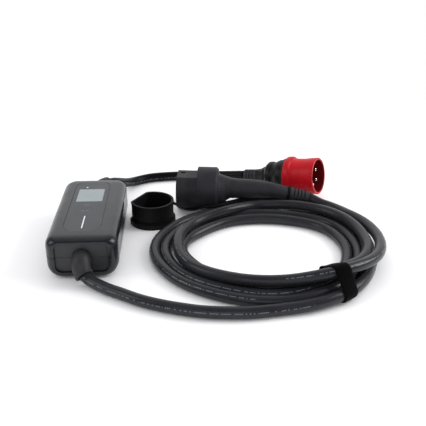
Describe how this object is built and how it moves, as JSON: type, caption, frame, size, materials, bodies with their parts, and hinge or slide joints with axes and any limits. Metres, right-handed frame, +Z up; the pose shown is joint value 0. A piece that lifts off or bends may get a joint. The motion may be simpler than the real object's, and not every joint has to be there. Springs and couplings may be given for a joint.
{
  "type": "portable electric vehicle charging cable with control box",
  "caption": "In-cable control box with display, charge cable coiled in a strap to a vehicle connector with tethered dust cap, and supply cable to a red round industrial plug",
  "frame": {"origin": "middle of the control box's underside, at ground height", "axes": "+X from the box toward the coil, +Y along the box from the charge cable's end to the supply cable's end, +Z up"},
  "size_m": [0.478, 0.479, 0.073],
  "materials": {
    "case": "satin",
    "plate": "satin",
    "fascia": "satin",
    "display": "satin",
    "lamp": "gloss",
    "module": "satin",
    "board": "satin",
    "terminal": "matte",
    "inner_plastic": "matte",
    "screw": "satin",
    "foot": "matte",
    "seal": "matte",
    "boot": "satin",
    "cable": "satin",
    "strap": "matte",
    "grip": "satin",
    "contact": "satin",
    "cap_rubber": "matte",
    "plug_red": "satin",
    "ring_grey": "satin",
    "plug_black": "satin"
  },
  "bodies": {
    "root": {"lower_case": "case", "upper_case": "case", "case_seal": "seal", "front_end_plate": "plate", "rear_end_plate": "plate", "case_screws": "screw", "feet": "foot", "fascia_panel": "fascia", "display_window": "display", "status_led": "lamp", "light_bar": "lamp", "display_module": "module", "key_board": "board", "main_board": "board", "board_screws": "screw", "relays": "module", "current_sensor": "module", "supply_module": "module", "front_terminals": "terminal", "rear_terminals": "terminal", "front_cord_clamp": "inner_plastic", "rear_cord_clamp": "inner_plastic", "front_boot": "boot", "rear_boot": "boot", "charge_cable_lead": "cable", "charge_cable_coil": "cable", "charge_cable_tail": "cable", "cable_strap": "strap", "connector_skirt": "grip", "contact_carrier": "inner_plastic", "power_contacts": "contact", "signal_contacts": "contact", "mouth_seal": "seal", "connector_collar": "grip", "grip_left": "grip", "grip_right": "grip", "grip_screws": "screw", "connector_relief": "boot", "dust_cap": "cap_rubber", "cap_tether": "cap_rubber", "plug_shroud": "plug_red", "pin_carrier": "plug_red", "line_pins": "contact", "earth_pin": "contact", "plug_seal": "ring_grey", "plug_rear_body": "plug_black", "plug_clamp_nut": "plug_black", "plug_relief": "boot", "supply_cable": "cable"}
  },
  "joints": []
}
